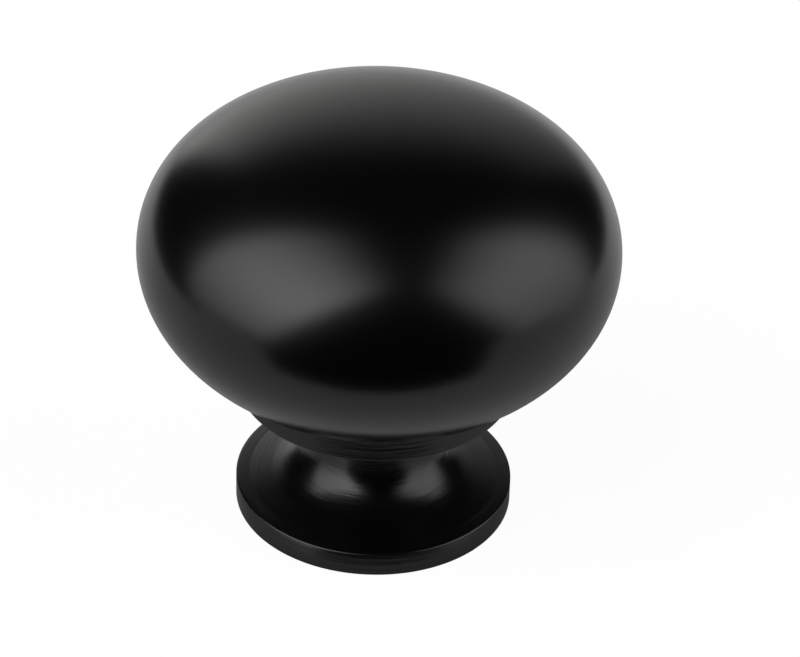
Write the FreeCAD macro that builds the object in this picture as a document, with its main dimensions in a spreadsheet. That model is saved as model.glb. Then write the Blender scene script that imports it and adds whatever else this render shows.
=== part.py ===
import FreeCAD, Part
import math
import os
import Sketcher

# Cabinet knob, one piece of metal turned about one axis.
# Millimetres. The origin is the centre of the face that meets the door.
# +Z runs along the knob's axis, away from the door.

# Driving sizes: name, value, what it measures
SIZES = (
    ("head_diameter", 31.75, "widest part of the head, 1 1/4 in"),
    ("crown_height", 9.5, "from the head's widest level up to its top"),
    ("crown_side_pull", 5.5, "how far the crown's curve holds to the upright at its side"),
    ("crown_top_pull", 10.0, "how far it holds to the level at its top"),
    ("underside_depth", 10.7, "half height of the ellipse that the head's underside follows"),
    ("collar_diameter", 18.5, "plain band under the head"),
    ("collar_height", 1.85, "height of that band"),
    ("neck_diameter", 8.0, "narrowest part of the waist"),
    ("neck_gap", 7.6, "from the top of the foot's rim up to the collar's lower edge"),
    ("cove_radius", 4.0, "hollow between the neck and the foot"),
    ("foot_slope", 13.0, "angle at which the foot's top rises to that hollow"),
    ("foot_diameter", 18.6, "foot that meets the door"),
    ("rim_height", 1.7, "straight wall round the foot"),
    ("band_width", 0.9, "narrow band between the rim and the foot's top"),
    ("band_drop", 0.1, "how far that band falls towards the rim"),
    ("rim_top_break", 0.25, "edge break at the top of the rim"),
    ("rim_bottom_break", 0.15, "edge break where the rim meets the door"),
    ("collar_edge_break", 0.1, "edge break at the lower edge of the collar"),
    ("bore_diameter", 3.45, "wall of the tapped hole before its thread, 8-32"),
    ("bore_depth", 11.0, "from the door face to the end of the straight wall"),
    ("drill_point_angle", 118.0, "cone at the end of the hole"),
    ("mouth_diameter", 4.8, "countersink at the mouth of the hole"),
    ("mouth_angle", 90.0, "full angle of that countersink"),
)

FULL_TURN = 360.0
UP = FreeCAD.Vector(0, 0, 1)
PLAIN_WEIGHT = 1.0
MATCH = 0.001

# How a sketch numbers its own two axes, and the places on a piece of its geometry
LEVEL_AXIS, UPRIGHT_AXIS = range(-1, -3, -1)
START, END, CENTRE = range(1, 4)
ORIGIN = (LEVEL_AXIS, START)


def add_sheet(doc):
    sheet = doc.addObject("Spreadsheet::Sheet", "Sizes")
    for row, (name, value, note) in enumerate(SIZES, start=1):
        sheet.set(f"A{row}", name)
        sheet.set(f"B{row}", str(value))
        sheet.setAlias(f"B{row}", name)
        sheet.set(f"C{row}", note)
    doc.recompute()
    return sheet


def add_sketch(body, name, role):
    """An empty sketch on one of the body's own origin planes."""
    plane = next(item for item in body.Origin.OriginFeatures if item.Role == role)
    sketch = body.newObject("Sketcher::SketchObject", name)
    sketch.AttachmentSupport = [(plane, "")]
    sketch.MapMode = "FlatFace"
    return sketch


def point(radius, height):
    return FreeCAD.Vector(radius, height, 0)


def bind(sketch, name, formula, kind, *places):
    """A sketch dimension that follows the sheet."""
    value = float(sketch.evalExpression(formula))
    index = sketch.addConstraint(Sketcher.Constraint(kind, *places, value))
    sketch.renameConstraint(index, name)
    sketch.setExpression(f"Constraints.{name}", formula)


def join(sketch, *places):
    sketch.addConstraint(Sketcher.Constraint("Coincident", *places))


def add_line(sketch, start, end, construction=False):
    return sketch.addGeometry(Part.LineSegment(point(*start), point(*end)), construction)


def add_ellipse_arc(sketch, centre_height, half_width, half_height, first, last):
    """An upright arc of an ellipse on the axis, with its two diameters as construction lines."""
    ellipse = Part.Ellipse(point(0, centre_height), half_width, half_height)
    arc = sketch.addGeometry(Part.ArcOfEllipse(ellipse, first, last), False)
    width = add_line(sketch, (-half_width, centre_height), (half_width, centre_height), True)
    lowest = (0, centre_height - half_height)
    highest = (0, centre_height + half_height)
    height = add_line(sketch, lowest, highest, True)
    sketch.addConstraint(Sketcher.Constraint("InternalAlignment:EllipseMajorDiameter", width, arc))
    sketch.addConstraint(Sketcher.Constraint("InternalAlignment:EllipseMinorDiameter", height, arc))
    sketch.addConstraint(Sketcher.Constraint("Horizontal", width))
    sketch.addConstraint(Sketcher.Constraint("PointOnObject", arc, CENTRE, UPRIGHT_AXIS))
    bind(sketch, "underside_span", "Sizes.underside_depth * 2", "Distance", height)
    return arc, width


def add_crown_curve(sketch, *places):
    """A curve through its first and last places, pulled by those between: four places make it cubic."""
    poles = [point(*place) for place in places]
    degree = len(places) - 1
    curve = Part.BSplineCurve(poles, None, None, False, degree, None, False)
    spline = sketch.addGeometry(curve, False)
    marks = []
    for index, pole in enumerate(poles):
        mark = sketch.addGeometry(Part.Circle(pole, UP, PLAIN_WEIGHT), True)
        align = Sketcher.Constraint(
            "InternalAlignment:Sketcher::BSplineControlPoint", mark, CENTRE, spline, index
        )
        sketch.addConstraint(align)
        sketch.addConstraint(Sketcher.Constraint("Weight", mark, PLAIN_WEIGHT))
        marks.append(mark)
    return spline, marks


def half_profile(body, sheet):
    """Right half of the knob's section, from the axis out and back to the axis."""
    foot_radius = sheet.foot_diameter / 2
    collar_radius = sheet.collar_diameter / 2
    neck_radius = sheet.neck_diameter / 2
    head_radius = sheet.head_diameter / 2
    crease_radius = foot_radius - sheet.band_width
    crease_height = sheet.rim_height + sheet.band_drop
    collar_bottom = sheet.rim_height + sheet.neck_gap
    collar_top = collar_bottom + sheet.collar_height
    seat_angle = math.acos(collar_radius / head_radius)
    equator_height = collar_top + sheet.underside_depth * math.sin(seat_angle)
    head_top = equator_height + sheet.crown_height

    sketch = add_sketch(body, "HalfProfile", "XZ_Plane")

    door_face = add_line(sketch, (0, 0), (foot_radius, 0))
    join(sketch, *ORIGIN, door_face, START)
    sketch.addConstraint(Sketcher.Constraint("Horizontal", door_face))
    bind(sketch, "foot_radius", "Sizes.foot_diameter / 2", "DistanceX", door_face, START, door_face, END)

    rim = add_line(sketch, (foot_radius, 0), (foot_radius, sheet.rim_height))
    join(sketch, door_face, END, rim, START)
    sketch.addConstraint(Sketcher.Constraint("Vertical", rim))
    bind(sketch, "rim_height", "Sizes.rim_height", "DistanceY", rim, START, rim, END)

    band = add_line(sketch, (foot_radius, sheet.rim_height), (crease_radius, crease_height))
    join(sketch, rim, END, band, START)
    bind(sketch, "band_width", "Sizes.band_width", "DistanceX", band, END, band, START)
    bind(sketch, "band_drop", "Sizes.band_drop", "DistanceY", band, START, band, END)

    collar = add_line(sketch, (collar_radius, collar_bottom), (collar_radius, collar_top))
    sketch.addConstraint(Sketcher.Constraint("Vertical", collar))
    bind(sketch, "collar_radius", "Sizes.collar_diameter / 2", "DistanceX", *ORIGIN, collar, START)
    bind(sketch, "neck_gap", "Sizes.neck_gap", "DistanceY", rim, END, collar, START)
    bind(sketch, "collar_height", "Sizes.collar_height", "DistanceY", collar, START, collar, END)

    # The foot's top rises straight to the lower cove, which hollows the waist to the neck
    slope = math.radians(sheet.foot_slope)
    lower_radius = sheet.cove_radius
    touch_radius = neck_radius + lower_radius * (1 - math.sin(slope))
    touch_height = crease_height + (crease_radius - touch_radius) * math.tan(slope)
    neck_height = touch_height + lower_radius * math.cos(slope)
    foot_top = add_line(sketch, (crease_radius, crease_height), (touch_radius, touch_height))
    join(sketch, band, END, foot_top, START)
    bind(sketch, "foot_slope", "180 deg - Sizes.foot_slope * 1 deg", "Angle", foot_top)
    bend = Part.Circle(point(neck_radius + lower_radius, neck_height), UP, lower_radius)
    lower_cove = sketch.addGeometry(Part.ArcOfCircle(bend, math.pi, 3 * math.pi / 2 - slope), False)
    sketch.addConstraint(Sketcher.Constraint("Tangent", lower_cove, END, foot_top, END))
    sketch.addConstraint(Sketcher.Constraint("Horizontal", lower_cove, START, lower_cove, CENTRE))
    bind(sketch, "neck_radius", "Sizes.neck_diameter / 2", "DistanceX", *ORIGIN, lower_cove, START)
    bind(sketch, "cove_radius", "Sizes.cove_radius", "Radius", lower_cove)

    # The upper cove turns on from the neck to a level ledge under the collar
    upper_radius = collar_bottom - neck_height
    ledge_radius = neck_radius + upper_radius
    bend = Part.Circle(point(ledge_radius, neck_height), UP, upper_radius)
    upper_cove = sketch.addGeometry(Part.ArcOfCircle(bend, math.pi / 2, math.pi), False)
    sketch.addConstraint(Sketcher.Constraint("Tangent", upper_cove, END, lower_cove, START))
    ledge = add_line(sketch, (ledge_radius, collar_bottom), (collar_radius, collar_bottom))
    sketch.addConstraint(Sketcher.Constraint("Horizontal", ledge))
    sketch.addConstraint(Sketcher.Constraint("Tangent", ledge, START, upper_cove, START))
    join(sketch, ledge, END, collar, START)

    # The underside is part of an ellipse that stands on the axis and seats on the collar
    underside, width = add_ellipse_arc(
        sketch, equator_height, head_radius, sheet.underside_depth, -seat_angle, 0
    )
    join(sketch, underside, START, collar, END)
    sketch.addConstraint(Sketcher.Constraint("Horizontal", underside, END, underside, CENTRE))
    bind(sketch, "head_diameter", "Sizes.head_diameter", "Distance", width)

    # The crown is one curve, upright at the widest level and level at the top
    crown, (side, side_pull, top_pull, top) = add_crown_curve(
        sketch,
        (head_radius, equator_height),
        (head_radius, equator_height + sheet.crown_side_pull),
        (sheet.crown_top_pull, head_top),
        (0, head_top),
    )
    join(sketch, crown, START, underside, END)
    sketch.addConstraint(Sketcher.Constraint("Vertical", side, CENTRE, side_pull, CENTRE))
    sketch.addConstraint(Sketcher.Constraint("Horizontal", top, CENTRE, top_pull, CENTRE))
    sketch.addConstraint(Sketcher.Constraint("PointOnObject", crown, END, UPRIGHT_AXIS))
    bind(sketch, "crown_height", "Sizes.crown_height", "DistanceY", side, CENTRE, top, CENTRE)
    bind(sketch, "side_pull", "Sizes.crown_side_pull", "DistanceY", side, CENTRE, side_pull, CENTRE)
    bind(sketch, "top_pull", "Sizes.crown_top_pull", "DistanceX", top, CENTRE, top_pull, CENTRE)

    axis = add_line(sketch, (0, head_top), (0, 0))
    join(sketch, crown, END, axis, START)
    join(sketch, axis, END, door_face, START)
    return sketch


def ring_edge(shape, radius, height):
    """Name of the circular edge of that radius at that height."""
    for index, edge in enumerate(shape.Edges, start=1):
        # The crown's pole is an edge without a curve
        if edge.Degenerated or not isinstance(edge.Curve, Part.Circle):
            continue
        ring = edge.Curve
        if abs(ring.Radius - radius) < MATCH and abs(ring.Center.z - height) < MATCH:
            return f"Edge{index}"
    raise ValueError(f"no ring edge of radius {radius} at height {height}")


def break_edge(body, base, name, radius, height, size_name):
    """A small turned chamfer on a sharp ring."""
    chamfer = body.newObject("PartDesign::Chamfer", name)
    chamfer.Base = (base, [ring_edge(base.Shape, radius, height)])
    chamfer.setExpression("Size", f"Sizes.{size_name}")
    body.Document.recompute()
    return chamfer


def add_tapped_hole(body, sheet):
    """Blind hole up the axis for the screw that comes through the door."""
    mark = add_sketch(body, "HoleMark", "XY_Plane")
    circle = mark.addGeometry(Part.Circle(point(0, 0), UP, sheet.bore_diameter / 2))
    join(mark, circle, CENTRE, *ORIGIN)
    bind(mark, "bore_diameter", "Sizes.bore_diameter", "Diameter", circle)
    body.Document.recompute()
    hole = body.newObject("PartDesign::Hole", "TappedHole")
    hole.Profile = mark
    hole.Reversed = True
    hole.DepthType = "Dimension"
    hole.DrillPoint = "Angled"
    hole.HoleCutType = "Countersink"
    hole.setExpression("Diameter", "Sizes.bore_diameter")
    hole.setExpression("Depth", "Sizes.bore_depth")
    hole.setExpression("DrillPointAngle", "Sizes.drill_point_angle")
    hole.setExpression("HoleCutDiameter", "Sizes.mouth_diameter")
    hole.setExpression("HoleCutCountersinkAngle", "Sizes.mouth_angle")
    body.Document.recompute()
    return hole


def add_knob(doc, sheet):
    body = doc.addObject("PartDesign::Body", "Knob")
    body.Label = "knob"
    sketch = half_profile(body, sheet)
    doc.recompute()

    turned = body.newObject("PartDesign::Revolution", "TurnedForm")
    turned.Profile = sketch
    turned.ReferenceAxis = (sketch, ["V_Axis"])
    turned.Angle = FULL_TURN
    doc.recompute()

    foot_radius = sheet.foot_diameter / 2
    collar_bottom = sheet.rim_height + sheet.neck_gap
    collar_radius = sheet.collar_diameter / 2
    broken = break_edge(body, turned, "RimTop", foot_radius, sheet.rim_height, "rim_top_break")
    broken = break_edge(body, broken, "RimBottom", foot_radius, 0, "rim_bottom_break")
    broken = break_edge(body, broken, "CollarEdge", collar_radius, collar_bottom, "collar_edge_break")

    hole = add_tapped_hole(body, sheet)
    if hole.Shape.Volume >= broken.Shape.Volume:
        raise ValueError("the tapped hole removed nothing")
    body.Tip = hole
    doc.recompute()
    return body


def check_document(doc):
    for item in doc.Objects:
        if "Invalid" in item.State or "Error" in item.State:
            raise ValueError(f"{item.Name} did not compute: {item.State}")


def check_shape(body):
    if body.Shape.isNull() or not body.Shape.isValid():
        raise ValueError(f"{body.Label} has no valid shape")


def main():
    doc = FreeCAD.newDocument("CabinetKnob")
    sheet = add_sheet(doc)
    body = add_knob(doc, sheet)
    check_document(doc)
    check_shape(body)
    os.makedirs("parts", exist_ok=True)
    body.Shape.exportStep(f"parts/{body.Label}.step")
    box = body.Shape.BoundBox
    print(f"{body.Label}: {box.XLength:.3f} x {box.YLength:.3f} x {box.ZLength:.3f} mm")
    print(f"volume {body.Shape.Volume:.1f} cubic mm, {len(body.Shape.Solids)} solid")


main()
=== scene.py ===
import math

import bmesh
import bpy
from mathutils import Matrix, Vector


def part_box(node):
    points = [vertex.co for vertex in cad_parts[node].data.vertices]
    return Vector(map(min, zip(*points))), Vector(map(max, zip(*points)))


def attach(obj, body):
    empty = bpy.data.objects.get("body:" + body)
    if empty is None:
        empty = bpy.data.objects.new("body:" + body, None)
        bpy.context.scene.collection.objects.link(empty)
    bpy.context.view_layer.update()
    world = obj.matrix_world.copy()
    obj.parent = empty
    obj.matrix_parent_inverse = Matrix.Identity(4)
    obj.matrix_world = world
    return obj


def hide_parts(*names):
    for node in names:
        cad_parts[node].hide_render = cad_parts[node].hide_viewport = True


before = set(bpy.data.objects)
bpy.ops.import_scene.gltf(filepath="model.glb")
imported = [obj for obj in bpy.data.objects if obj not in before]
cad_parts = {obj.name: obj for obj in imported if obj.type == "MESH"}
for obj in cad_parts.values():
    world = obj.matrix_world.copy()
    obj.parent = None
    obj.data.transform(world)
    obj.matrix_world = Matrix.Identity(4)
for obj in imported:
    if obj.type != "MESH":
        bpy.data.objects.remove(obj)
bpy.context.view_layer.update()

# A round cabinet knob, turned in one piece and enamelled satin black.
# Sizes are real ones in millimetres, and MM turns them into metres where they are used.
MM = 0.001

# The turned form, from the head down to the foot
HEAD_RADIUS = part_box("knob")[1].x / MM
KNOB_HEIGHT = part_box("knob")[1].z / MM
CROWN_HEIGHT = 9.5
CROWN_SIDE_PULL = 5.5
CROWN_TOP_PULL = 10.0
UNDERSIDE_DEPTH = 10.7
COLLAR_RADIUS = 9.25
COLLAR_BOTTOM = 9.3
COLLAR_TOP = 11.15
NECK_RADIUS = 4.0
COVE_RADIUS = 4.0
FOOT_SLOPE = math.radians(13)
FOOT_RADIUS = 9.3
RIM_HEIGHT = 1.7
BAND_WIDTH = 0.9
BAND_DROP = 0.1

# A fine turned groove parts the collar from the head
GROOVE_HEIGHT = 0.26
GROOVE_DEPTH = 0.16
GROOVE_FLOOR_RISE = 0.08
GROOVE_ROOF_DROP = 0.04

# Roundings that the enamel leaves on the turned corners
RIM_TOP_ROUNDING = 0.12
RIM_BOTTOM_ROUNDING = 0.04
CREASE_ROUNDING = 0.25
COLLAR_EDGE_ROUNDING = 0.1
GROOVE_ROUNDING = 0.03
MOUTH_ROUNDING = 0.06

# The tapped hole for the screw from behind the door, 8-32, with its thread's flats as shares of the pitch
BORE_RADIUS = 1.725
BORE_DEPTH = 11.0
MOUTH_RADIUS = 2.4
MOUTH_DEPTH = MOUTH_RADIUS - BORE_RADIUS
DRILL_HALF_ANGLE = math.radians(59)
THREAD_PITCH = 25.4 / 32
THREAD_DEPTH = 0.358
THREAD_CREST_FLAT = 1 / 4
THREAD_ROOT_FLAT = 1 / 8
THREAD_END = 9.6
THREAD_RUNOUT = 0.8

# Steps along each stretch of the half section, and round the knob
CONE_STEPS = 6
MOUTH_STEPS = 8
SLOPE_STEPS = 6
COVE_STEPS = 40
THROAT_STEPS = 36
LEDGE_STEPS = 6
UNDERSIDE_STEPS = 50
CROWN_STEPS = 80
CORNER_STEPS = 6
CREASE_STEPS = 5
GROOVE_CORNER_STEPS = 3
STEPS_PER_PITCH = 9
STEPS_ROUND = 192
MERGE_DISTANCE = 0.0005
INDEX_NUDGE = 0.0001

# The enamel, and the bare metal from just inside the hole's mouth up to its end
ENAMEL_COLOUR = (0.0012, 0.0012, 0.0013, 1)
ENAMEL_ROUGHNESS = 0.24
ZINC_COLOUR = (0.60, 0.59, 0.57, 1)
ZINC_ROUGHNESS = 0.3
BARE_RADIUS = MOUTH_RADIUS - 0.09
ENAMELLED_RADIUS = MOUTH_RADIUS - 0.05
BARE_UP_TO = 13
ENAMELLED_FROM = 14

# Marks of turning under the enamel below the head, and the enamel's own fine unevenness
RINGS_PER_METRE = 3600
MARK_DEPTH = 0.022
MARKS_ROUND = 1.6
MARKS_DETAIL = 3.0
MARKS_ROUGHNESS = 0.6
MARKS_FADE = 0.1
PEEL_PER_METRE = 2200
PEEL_DEPTH = 0.0012
PEEL_DETAIL = 2.0
PEEL_ROUGHNESS = 0.5

# In the shading alone, the walls below the head draw in more as they rise than their outline shows.
# Each stretch has the heights of its foot and its top, and the slope by which it leans in at each.
COVE_START = 2.3
BEND_START = 3.6
BEND_END = 4.45
NECK_START = 5.9
RIM_LEAN = 0.31
COVE_LEAN = 0.09
BEND_LEAN = -0.02
NECK_LEAN = 0.22
COLLAR_FOOT_LEAN = 0.27
COLLAR_TOP_LEAN = 0.02
LEANING_STRETCHES = (
    (0, RIM_HEIGHT, RIM_LEAN, RIM_LEAN),
    (COVE_START, BEND_START, COVE_LEAN, COVE_LEAN),
    (BEND_START, BEND_END, COVE_LEAN, BEND_LEAN),
    (BEND_END, NECK_START, BEND_LEAN, NECK_LEAN),
    (NECK_START, COLLAR_BOTTOM, NECK_LEAN, NECK_LEAN),
    (COLLAR_BOTTOM, COLLAR_TOP, COLLAR_FOOT_LEAN, COLLAR_TOP_LEAN),
)

# The white sheet under the knob. In the knob's mirror it glows with painted light, which brightens from one
# distance back to another
WHITE = (1, 1, 1, 1)
BLACK = (0, 0, 0, 1)
PAPER_COLOUR = (0.67, 0.67, 0.67, 1)
PAPER_WHITE = 1.06
PAPER_SEEN_WHITE = 0.9
# Shares of painted glow that the knob's mirror sees in the sheet, in front and far back
PAPER_PAINTED_GLOW_NEAR = 0.03
PAPER_PAINTED_GLOW_FAR = 0.44
PAPER_BRIGHTENS_FROM = 15
PAPER_BRIGHTENS_TO = 60
PAPER_DROP = 0.02
PAPER_FRONT = 38
PAPER_FRONT_HALF = 32
PAPER_WING = 420
PAPER_WING_FRONT = 330
PAPER_WING_BACK = 30
PAPER_SIDE = 125
PAPER_BACK = 1200

# The soft boxes and the dark walls behind them
LAMP_DISTANCE = 1500
LAMP_AIM_HEIGHT = 18
WALL_DISTANCE = 4500

# The camera, as measured from the photograph
FRAME_WIDTH = 800
FRAME_HEIGHT = 657
SENSOR_WIDTH = 36.0
FOCAL_PIXELS = 4120.0
CAMERA_DISTANCE = 269.27
CAMERA_ELEVATION = math.radians(33.44)
OBJECT_LEAN = math.radians(1.532)
HEAD_PIXEL = (379.39, 247.57)
NEAREST_SEEN = 10
FARTHEST_SEEN = 20000


def line(start, end, steps):
    """Places along a straight stretch, its start included and its end left to the next one."""
    start, end = Vector(start), Vector(end)
    return [start.lerp(end, step / steps) for step in range(steps)]


def arc(centre, radii, first, last, steps):
    """Places along part of a circle or of an upright ellipse, its end left to the next stretch."""
    places = []
    for step in range(steps):
        angle = first + (last - first) * step / steps
        across = centre[0] + radii[0] * math.cos(angle)
        up = centre[1] + radii[1] * math.sin(angle)
        places.append(Vector((across, up)))
    return places


def cubic(start, start_pull, end_pull, end, steps):
    """Places along a curve that two pulls bend, its end included."""
    places = []
    for step in range(steps + 1):
        t = step / steps
        s = 1 - t
        places.append(
            Vector(start) * s**3
            + Vector(start_pull) * 3 * s * s * t
            + Vector(end_pull) * 3 * s * t * t
            + Vector(end) * t**3
        )
    return places


def corner(before, place, after, radius, steps=CORNER_STEPS):
    """A rounded corner at a place, between the ways to the places before and after it."""
    back = (Vector(before) - Vector(place)).normalized()
    ahead = (Vector(after) - Vector(place)).normalized()
    half = back.angle(ahead) / 2
    centre = Vector(place) + (back + ahead).normalized() * radius / math.sin(half)
    reach = radius / math.tan(half)
    first = Vector(place) + back * reach - centre
    last = Vector(place) + ahead * reach - centre
    turn = first.angle(last)
    places = []
    for step in range(steps + 1):
        share = step / steps
        spoke = (first * math.sin((1 - share) * turn) + last * math.sin(share * turn)) / math.sin(turn)
        places.append(centre + spoke)
    return places


def hole_profile():
    """From the drill's point down the hole to the door face, with how much thread each place has."""
    wall_top = (BORE_RADIUS, BORE_DEPTH)
    wall_foot = (BORE_RADIUS, MOUTH_DEPTH)
    mouth_edge = Vector((MOUTH_RADIUS, 0))
    point_height = BORE_DEPTH + BORE_RADIUS / math.tan(DRILL_HALF_ANGLE)
    wall_steps = round((BORE_DEPTH - MOUTH_DEPTH) / THREAD_PITCH * STEPS_PER_PITCH)
    lip = corner(wall_foot, mouth_edge, (FOOT_RADIUS, 0), MOUTH_ROUNDING)
    lip_reach = (lip[0] - mouth_edge).length
    places = line((0, point_height), wall_top, CONE_STEPS)
    places += line(wall_top, wall_foot, wall_steps)
    mouth = line(wall_foot, mouth_edge, MOUTH_STEPS)
    places += [place for place in mouth if (place - mouth_edge).length > lip_reach]
    thread = [min(1.0, max(0.0, (THREAD_END - place.y) / THREAD_RUNOUT)) for place in places]
    return places + lip, thread + [0.0] * len(lip)


def waist_profile(crease):
    """Where the hollow starts, where it ends, and its places from the foot up to the neck and out again."""
    touch_radius = NECK_RADIUS + COVE_RADIUS * (1 - math.sin(FOOT_SLOPE))
    touch = Vector((touch_radius, crease.y + (crease.x - touch_radius) * math.tan(FOOT_SLOPE)))
    neck_height = touch.y + COVE_RADIUS * math.cos(FOOT_SLOPE)
    throat_radius = COLLAR_BOTTOM - neck_height
    cove_centre = (NECK_RADIUS + COVE_RADIUS, neck_height)
    throat_centre = (NECK_RADIUS + throat_radius, neck_height)
    ledge = Vector((NECK_RADIUS + throat_radius, COLLAR_BOTTOM))
    touch_angle = 3 * math.pi / 2 - FOOT_SLOPE
    waist = arc(cove_centre, (COVE_RADIUS, COVE_RADIUS), touch_angle, math.pi, COVE_STEPS)
    waist += arc(throat_centre, (throat_radius, throat_radius), math.pi, math.pi / 2, THROAT_STEPS)
    return touch, ledge, waist


def body_profile():
    """From the foot's edge up and over the knob to the middle of its crown."""
    rim_foot = Vector((FOOT_RADIUS, 0))
    rim_top = Vector((FOOT_RADIUS, RIM_HEIGHT))
    crease = Vector((FOOT_RADIUS - BAND_WIDTH, RIM_HEIGHT + BAND_DROP))
    collar_edge = Vector((COLLAR_RADIUS, COLLAR_BOTTOM))
    collar_root = Vector((COLLAR_RADIUS, COLLAR_TOP))
    groove_lip = Vector((COLLAR_RADIUS, COLLAR_TOP - GROOVE_HEIGHT))
    groove_foot = groove_lip + Vector((-GROOVE_DEPTH, GROOVE_FLOOR_RISE))
    groove_root = Vector((groove_foot.x, COLLAR_TOP - GROOVE_ROOF_DROP))
    seat = math.acos(COLLAR_RADIUS / HEAD_RADIUS)
    widest = COLLAR_TOP + UNDERSIDE_DEPTH * math.sin(seat)
    touch, ledge, waist = waist_profile(crease)
    crease_bend = corner(rim_top, crease, touch, CREASE_ROUNDING, CREASE_STEPS)
    edge_bend = corner(ledge, collar_edge, collar_root, COLLAR_EDGE_ROUNDING)

    places = corner((0, 0), rim_foot, rim_top, RIM_BOTTOM_ROUNDING)
    places += corner(rim_foot, rim_top, crease, RIM_TOP_ROUNDING)
    places += crease_bend
    places += line(crease_bend[-1], touch, SLOPE_STEPS)[1:]
    places += waist
    places += line(ledge, edge_bend[0], LEDGE_STEPS)
    places += edge_bend
    groove = (collar_edge, groove_lip, groove_foot, groove_root, collar_root)
    for before, place, after in zip(groove, groove[1:], groove[2:]):
        places += corner(before, place, after, GROOVE_ROUNDING, GROOVE_CORNER_STEPS)
    places += arc((0, widest), (HEAD_RADIUS, UNDERSIDE_DEPTH), -seat, 0, UNDERSIDE_STEPS)
    places += cubic(
        (HEAD_RADIUS, widest),
        (HEAD_RADIUS, widest + CROWN_SIDE_PULL),
        (CROWN_TOP_PULL, widest + CROWN_HEIGHT),
        (0, widest + CROWN_HEIGHT),
        CROWN_STEPS,
    )
    return places


def turned_profile():
    """Half section of the whole knob as a line of points, with its share of thread at each."""
    hole, thread = hole_profile()
    body = body_profile()
    mesh = bpy.data.meshes.new("half_section")
    mesh.from_pydata([(place.x * MM, 0, place.y * MM) for place in hole + body], [], [])
    share = mesh.attributes.new("thread", "FLOAT", "POINT")
    share.data.foreach_set("value", thread + [0.0] * len(body))
    return mesh


class Tree:
    """Adds nodes to a node tree and joins their sockets."""

    def __init__(self, tree):
        self.tree = tree

    def node(self, kind, settings=None, **inputs):
        """A new node. An input is named by its socket's own name, in small letters joined by _."""
        made = self.tree.nodes.new(kind)
        for name, value in (settings or {}).items():
            setattr(made, name, value)
        for name, value in inputs.items():
            self.feed(self.find(made, name), value)
        return made

    def find(self, made, name):
        """The socket in use that has this name."""
        named = [socket for socket in made.inputs if socket.name.lower().replace(" ", "_") == name]
        return next(socket for socket in named if socket.enabled)

    def feed(self, socket, value):
        """Sets a socket to a number, a colour or a material, or links it to a value, a node or a socket."""
        if isinstance(value, Value):
            value = value.socket
        if isinstance(value, bpy.types.Node):
            value = next(output for output in value.outputs if output.enabled)
        if isinstance(value, bpy.types.NodeSocket):
            self.tree.links.new(value, socket)
        else:
            socket.default_value = value

    def value(self, kind, settings=None, **inputs):
        """The first output of a new node, ready for sums."""
        return Value(self, self.node(kind, settings, **inputs).outputs[0])

    def parts(self, place):
        """The three numbers of a place."""
        split = self.node("ShaderNodeSeparateXYZ", vector=place)
        return [Value(self, output) for output in split.outputs]

    def mixed(self, share, first, second):
        """A mix of two shaders, with the share of the second one."""
        mix = self.node("ShaderNodeMixShader")
        for socket, value in zip(mix.inputs, (share, first, second)):
            self.feed(socket, value)
        return mix


class Value:
    """A number that changes from place to place. Sums and products of values add Math nodes."""

    def __init__(self, tree, socket):
        self.tree = tree
        self.socket = socket

    def math(self, operation, *others):
        return self.combined(operation, self, *others)

    def combined(self, operation, *values):
        made = self.tree.node("ShaderNodeMath", {"operation": operation})
        for socket, value in zip(made.inputs, values):
            self.tree.feed(socket, value)
        return Value(self.tree, made.outputs[0])

    def __add__(self, other):
        return self.math("ADD", other)

    def __radd__(self, other):
        return self.math("ADD", other)

    def __sub__(self, other):
        return self.math("SUBTRACT", other)

    def __rsub__(self, other):
        return self.combined("SUBTRACT", other, self)

    def __mul__(self, other):
        return self.math("MULTIPLY", other)

    def __rmul__(self, other):
        return self.math("MULTIPLY", other)

    def __truediv__(self, other):
        return self.math("DIVIDE", other)

    def clamped(self, low, high):
        """0 below low, 1 above high, and a straight ramp between."""
        return ((self - low) / (high - low)).math("MAXIMUM", 0.0).math("MINIMUM", 1.0)


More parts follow.
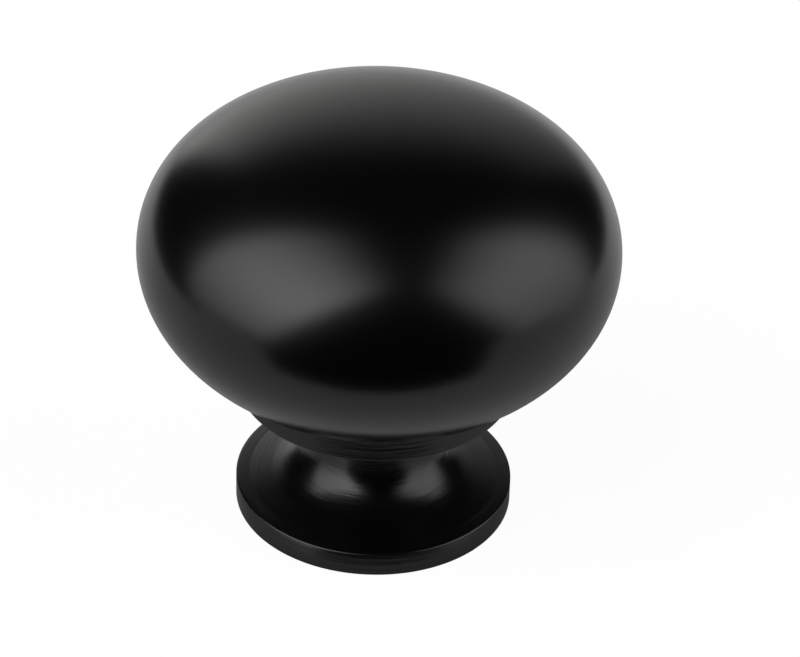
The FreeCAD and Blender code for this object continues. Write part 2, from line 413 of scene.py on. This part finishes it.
def turning_tree():
    """Turns a half section about the upright axis and cuts the thread into its hole."""
    group = bpy.data.node_groups.new("turn_on_lathe", "GeometryNodeTree")
    inputs = {
        "Half Section": "NodeSocketGeometry",
        "Steps Along": "NodeSocketInt",
        "Steps Round": "NodeSocketInt",
        "Thread Pitch": "NodeSocketFloat",
        "Thread Depth": "NodeSocketFloat",
        "Hole Radius": "NodeSocketFloat",
        "Finish": "NodeSocketMaterial",
    }
    for name, kind in inputs.items():
        group.interface.new_socket(name, in_out="INPUT", socket_type=kind)
    group.interface.new_socket("Turned Piece", in_out="OUTPUT", socket_type="NodeSocketGeometry")
    tree = Tree(group)
    given = tree.node("NodeGroupInput").outputs
    steps_round, pitch, depth, hole_radius = (
        Value(tree, given[name]) for name in ("Steps Round", "Thread Pitch", "Thread Depth", "Hole Radius")
    )

    around_count = steps_round + 1
    grid = tree.node("GeometryNodeMeshGrid", vertices_x=given["Steps Along"], vertices_y=around_count)
    index = tree.value("GeometryNodeInputIndex")
    along = (index / around_count + INDEX_NUDGE).math("FLOOR")
    around = index - along * around_count
    angle = around / steps_round * math.tau

    def sampled(kind, source):
        """What the half section holds at this place along it."""
        settings = {"data_type": kind, "domain": "POINT"}
        section = given["Half Section"]
        return tree.value("GeometryNodeSampleIndex", settings, geometry=section, value=source, index=along)

    radius, _, height = tree.parts(sampled("FLOAT_VECTOR", tree.node("GeometryNodeInputPosition")))
    stored = tree.node("GeometryNodeInputNamedAttribute", {"data_type": "FLOAT"}, name="thread")
    share = sampled("FLOAT", stored)

    # A 60 degree thread that winds up the hole, with a flat at its crest and at its root
    phase = (height / pitch - angle / math.tau).math("FRACT")
    slope = 1 - (phase * 2 - 1).math("ABSOLUTE")
    groove = slope.clamped(THREAD_CREST_FLAT, 1 - THREAD_ROOT_FLAT)
    threaded = hole_radius + depth * groove * share
    cut = radius.math("MAXIMUM", threaded * share.math("GREATER_THAN", 0.0))

    across, away = cut * angle.math("COSINE"), cut * angle.math("SINE")
    place = tree.node("ShaderNodeCombineXYZ", x=across, y=away, z=height)
    turned = tree.node("GeometryNodeSetPosition", geometry=grid, position=place)
    closed = tree.node("GeometryNodeMergeByDistance", geometry=turned, distance=MERGE_DISTANCE * MM)
    outward = tree.node("GeometryNodeFlipFaces", mesh=closed)
    smooth = tree.node("GeometryNodeSetShadeSmooth", geometry=outward)
    real = tree.node("GeometryNodeRealizeInstances", geometry=smooth)
    finished = tree.node("GeometryNodeSetMaterial", geometry=real, material=given["Finish"])
    tree.node("NodeGroupOutput", turned_piece=finished)
    return group


def new_object(name, data):
    """An object in the scene that shows a mesh or holds a camera."""
    made = bpy.data.objects.new(name, data)
    bpy.context.scene.collection.objects.link(made)
    return made


def turned_knob(finish):
    """The knob's mesh, turned from its half section."""
    section = turned_profile()
    blank = new_object("half_section", section)
    tree = turning_tree()
    lathe = blank.modifiers.new("lathe", "NODES")
    lathe.node_group = tree
    wanted = {
        "Steps Along": len(section.vertices),
        "Steps Round": STEPS_ROUND,
        "Thread Pitch": THREAD_PITCH * MM,
        "Thread Depth": THREAD_DEPTH * MM,
        "Hole Radius": BORE_RADIUS * MM,
        "Finish": finish,
    }
    for item in tree.interface.items_tree:
        if item.name in wanted:
            lathe[item.identifier] = wanted[item.name]
    seen = bpy.context.evaluated_depsgraph_get()
    mesh = bpy.data.meshes.new_from_object(blank.evaluated_get(seen))
    blank.modifiers.remove(lathe)
    bpy.data.objects.remove(blank)
    mesh.name = "turned_knob"
    return new_object("turned_knob", mesh)


def report_mesh(mesh):
    """Prints whether a mesh is closed, and its volume, which is above 0 when its faces point outwards."""
    check = bmesh.new()
    check.from_mesh(mesh)
    volume = check.calc_volume(signed=True) / MM**3
    open_edges = sum(not edge.is_manifold for edge in check.edges)
    check.free()
    print("knob mesh", len(mesh.polygons), "faces, volume", volume, "open edges", open_edges)


def new_finish(name):
    """An empty material, with the tree that takes its nodes."""
    finish = bpy.data.materials.new(name)
    finish.use_nodes = True
    finish.node_tree.nodes.clear()
    return finish, Tree(finish.node_tree)


def satin_black():
    """Satin black enamel over turned metal, with bare metal in the tapped hole."""
    finish, tree = new_finish("satin_black_enamel")
    place = tree.node("ShaderNodeTexCoord").outputs["Object"]
    across, along, height = tree.parts(place)
    radius = (across * across + along * along).math("SQRT")
    angle = along.math("ARCTAN2", across)

    in_hole = 1 - radius.clamped(BARE_RADIUS * MM, ENAMELLED_RADIUS * MM)
    below_head = 1 - height.clamped(BARE_UP_TO * MM, ENAMELLED_FROM * MM)
    bare = in_hole * below_head
    colour = tree.node("ShaderNodeMix", {"data_type": "RGBA"}, factor=bare, a=ENAMEL_COLOUR, b=ZINC_COLOUR)
    roughness = bare * (ZINC_ROUGHNESS - ENAMEL_ROUGHNESS) + ENAMEL_ROUGHNESS

    # Fine turning marks run round the foot, the waist and the collar under the enamel
    rings = tree.node(
        "ShaderNodeCombineXYZ",
        x=radius * RINGS_PER_METRE,
        y=height * RINGS_PER_METRE,
        z=angle.math("COSINE") * MARKS_ROUND,
    )
    marks = tree.value(
        "ShaderNodeTexNoise",
        {"noise_dimensions": "4D"},
        vector=rings,
        w=angle.math("SINE") * MARKS_ROUND,
        scale=1.0,
        detail=MARKS_DETAIL,
        roughness=MARKS_ROUGHNESS,
    )
    peel = tree.value(
        "ShaderNodeTexNoise",
        {"noise_dimensions": "3D"},
        vector=place,
        scale=PEEL_PER_METRE,
        detail=PEEL_DETAIL,
        roughness=PEEL_ROUGHNESS,
    )
    turned = 1 - height.clamped((COLLAR_TOP - MARKS_FADE) * MM, (COLLAR_TOP + MARKS_FADE) * MM)
    relief = marks * turned * MARK_DEPTH + peel * PEEL_DEPTH

    def leaning(low, high, low_lean, high_lean):
        """How far a stretch draws in from its foot, where its lean changes evenly from foot to top."""
        share = height.clamped(low * MM, high * MM)
        return (share * low_lean + share * share * ((high_lean - low_lean) / 2)) * ((high - low) * MM)

    lean = sum(leaning(*stretch) for stretch in LEANING_STRETCHES)
    bump = tree.node("ShaderNodeBump", height=relief * MM - lean, strength=1.0, distance=1.0)

    surface = tree.node(
        "ShaderNodeBsdfPrincipled",
        base_color=colour,
        metallic=bare,
        roughness=roughness,
        normal=bump,
    )
    tree.node("ShaderNodeOutputMaterial", surface=surface)
    return finish


def sheet(name, corners, finish):
    """One flat piece of the studio."""
    mesh = bpy.data.meshes.new(name)
    mesh.from_pydata(corners, [], [tuple(range(len(corners)))])
    mesh.materials.append(finish)
    piece = new_object(name, mesh)
    return piece


def white_paper():
    """White paper that the lamps light, which the camera sees nearly as white as the background, and which
    glows with painted light in the knob's mirror.
    """
    finish, tree = new_finish("white_paper")
    matte = tree.node("ShaderNodeBsdfDiffuse", color=PAPER_COLOUR)
    white = tree.node("ShaderNodeEmission", color=WHITE, strength=PAPER_WHITE)
    path = tree.node("ShaderNodeLightPath").outputs
    camera = Value(tree, path["Is Camera Ray"])
    mirrored = Value(tree, path["Is Glossy Ray"]) + Value(tree, path["Is Transmission Ray"])

    # Painted light: in the knob's mirror the sheet glows, dim in front and brighter towards the back
    _, along, _ = tree.parts(tree.node("ShaderNodeTexCoord").outputs["Object"])
    behind = along.clamped(PAPER_BRIGHTENS_FROM * MM, PAPER_BRIGHTENS_TO * MM)
    painted_mirror_glow = behind * (PAPER_PAINTED_GLOW_FAR - PAPER_PAINTED_GLOW_NEAR) + PAPER_PAINTED_GLOW_NEAR
    seen = tree.mixed(camera * PAPER_SEEN_WHITE + mirrored * painted_mirror_glow, matte, white)

    # From below, the paper is clear, so that the foot can be looked at
    below = Value(tree, tree.node("ShaderNodeNewGeometry").outputs["Backfacing"])
    sided = tree.mixed(below * camera, seen, tree.node("ShaderNodeBsdfTransparent"))
    tree.node("ShaderNodeOutputMaterial", surface=sided)
    return finish


def studio_floor():
    """A white sheet from just in front of the knob far back, with a wing under each side lamp."""
    half = (
        (PAPER_FRONT_HALF, -PAPER_FRONT),
        (PAPER_WING, -PAPER_WING_FRONT),
        (PAPER_WING, -PAPER_WING_BACK),
        (PAPER_SIDE, -PAPER_WING_BACK),
        (PAPER_SIDE, PAPER_BACK),
    )
    right = [(across * MM, along * MM, 0) for across, along in half]
    left = [(-across, along, 0) for across, along, _ in reversed(right)]
    paper = sheet("paper_floor", right + left, white_paper())
    paper.location.z = -PAPER_DROP * MM


def lamp_glow(name, peak, colour, soft_side, soft_top, soft_foot, to_left=0.0, to_top=0.0):
    """Light of a soft box, full in the middle and fading at its edges. It can lean to the left or the top."""
    glow, tree = new_finish(name)
    across, up, _ = tree.parts(tree.node("ShaderNodeTexCoord").outputs["Object"])

    def faded(distance, softness):
        """From 0 at an edge to 1 where the soft stretch ends."""
        return tree.value(
            "ShaderNodeMapRange",
            {"interpolation_type": "SMOOTHSTEP"},
            value=distance,
            from_min=0.0,
            from_max=softness,
            to_min=0.0,
            to_max=1.0,
        )

    level = faded(1 - across.math("ABSOLUTE"), soft_side) * faded(1 - up, soft_top) * faded(up + 1, soft_foot)
    level = level * (1 - across * to_left) * (1 + up * to_top)
    front = 1 - Value(tree, tree.node("ShaderNodeNewGeometry").outputs["Backfacing"])
    light = tree.node("ShaderNodeEmission", color=(*colour, 1), strength=level * front * peak)
    tree.node("ShaderNodeOutputMaterial", surface=light)
    return glow


def soft_box(name, glow, azimuth, elevation, roll, half_width, half_height):
    """A flat soft box that faces the head, unseen by the camera. Its half sizes are shares of its distance.

    Its angles are in degrees. Azimuth 0 is on the camera's side, and + is to the right.
    """
    corners = [(-1, -1, 0), (1, -1, 0), (1, 1, 0), (-1, 1, 0)]
    box = sheet(name, corners, glow)
    turn, rise = math.radians(azimuth), math.radians(elevation)
    way = Vector((math.sin(turn) * math.cos(rise), -math.cos(turn) * math.cos(rise), math.sin(rise)))
    right = Vector((math.cos(turn), math.sin(turn), 0))
    axes = Matrix((-right, way.cross(right), -way)).transposed()
    facing = axes @ Matrix.Rotation(math.radians(-roll), 3, "Z")
    distance = LAMP_DISTANCE * MM
    size = Matrix.Diagonal((half_width * distance, half_height * distance, 1))
    place = way * distance + Vector((0, 0, LAMP_AIM_HEIGHT * MM))
    box.matrix_world = Matrix.Translation(place) @ (facing @ size).to_4x4()
    box.visible_camera = False


def studio_walls():
    """The dark room round the soft boxes, which the camera doesn't see."""
    mesh = bpy.data.meshes.new("dark_walls")
    shell = bmesh.new()
    bmesh.ops.create_cube(shell, size=2 * WALL_DISTANCE * MM)
    shell.to_mesh(mesh)
    shell.free()
    black, tree = new_finish("dark_cloth")
    tree.node("ShaderNodeOutputMaterial", surface=tree.node("ShaderNodeBsdfDiffuse", color=BLACK))
    mesh.materials.append(black)
    walls = new_object("dark_walls", mesh)
    walls.visible_camera = False


def photo_camera():
    """The camera that sees the knob as the photograph does."""
    widest = KNOB_HEIGHT - CROWN_HEIGHT
    ahead = Vector((0, math.cos(CAMERA_ELEVATION), -math.sin(CAMERA_ELEVATION)))
    right = Vector((1, 0, 0))
    level = Matrix((right, ahead.cross(right), ahead))
    aim = Vector((
        (HEAD_PIXEL[0] - FRAME_WIDTH / 2) / FOCAL_PIXELS,
        (HEAD_PIXEL[1] - FRAME_HEIGHT / 2) / FOCAL_PIXELS,
        1,
    ))
    turn = Vector((0, 0, 1)).rotation_difference(aim).to_matrix()
    lean = Matrix.Rotation(OBJECT_LEAN, 3, "Z")
    view = turn @ lean @ level
    lens = bpy.data.cameras.new("photo_camera")
    lens.sensor_width = SENSOR_WIDTH
    lens.lens = FOCAL_PIXELS * SENSOR_WIDTH / FRAME_WIDTH
    lens.clip_start = NEAREST_SEEN * MM
    lens.clip_end = FARTHEST_SEEN * MM
    camera = new_object("photo_camera", lens)
    axes = Matrix((view[0], -view[1], -view[2])).transposed()
    place = Vector((0, 0, widest * MM)) - ahead * CAMERA_DISTANCE * MM
    camera.matrix_world = Matrix.Translation(place) @ axes.to_4x4()
    bpy.context.scene.camera = camera


def studio_world():
    """The white background that the camera sees, and a mirror ray would. It lights nothing."""
    world = bpy.data.worlds.new("studio")
    bpy.context.scene.world = world
    world.use_nodes = True
    world.node_tree.nodes.clear()
    tree = Tree(world.node_tree)
    path = tree.node("ShaderNodeLightPath").outputs
    seen = Value(tree, path["Is Camera Ray"]) + Value(tree, path["Is Glossy Ray"])
    seen = (seen + Value(tree, path["Is Transmission Ray"])).math("MINIMUM", 1.0)
    dim = tree.node("ShaderNodeBackground", color=WHITE, strength=0.0)
    white = tree.node("ShaderNodeBackground", color=WHITE, strength=1.0)
    tree.node("ShaderNodeOutputWorld", surface=tree.mixed(seen, dim, white))


photo_camera()
studio_world()
studio_floor()
studio_walls()
left_glow = lamp_glow(
    "left_light",
    peak=3.78,
    colour=(1.0, 1.0, 0.985),
    soft_side=0.39,
    soft_top=1.08,
    soft_foot=1.62,
    to_left=0.28,
)
right_glow = lamp_glow(
    "right_light",
    peak=3.07,
    colour=(0.985, 0.99, 1.0),
    soft_side=0.62,
    soft_top=0.96,
    soft_foot=2.0,
)
card_glow = lamp_glow(
    "card_light",
    peak=0.64,
    colour=(1.0, 1.0, 0.98),
    soft_side=0.29,
    soft_top=0.77,
    soft_foot=0.77,
    to_left=0.98,
    to_top=-0.37,
)
soft_box(
    "left_soft_box",
    left_glow,
    azimuth=-65.7,
    elevation=34.0,
    roll=-9.0,
    half_width=0.665,
    half_height=1.44,
)
soft_box(
    "right_soft_box",
    right_glow,
    azimuth=84.2,
    elevation=19.0,
    roll=7.0,
    half_width=0.72,
    half_height=1.43,
)
soft_box(
    "back_card",
    card_glow,
    azimuth=178.3,
    elevation=11.7,
    roll=0.0,
    half_width=0.723,
    half_height=0.659,
)

knob = turned_knob(satin_black())
report_mesh(knob.data)
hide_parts("knob")
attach(knob, "root")

bpy.context.scene.view_settings.view_transform = "Standard"
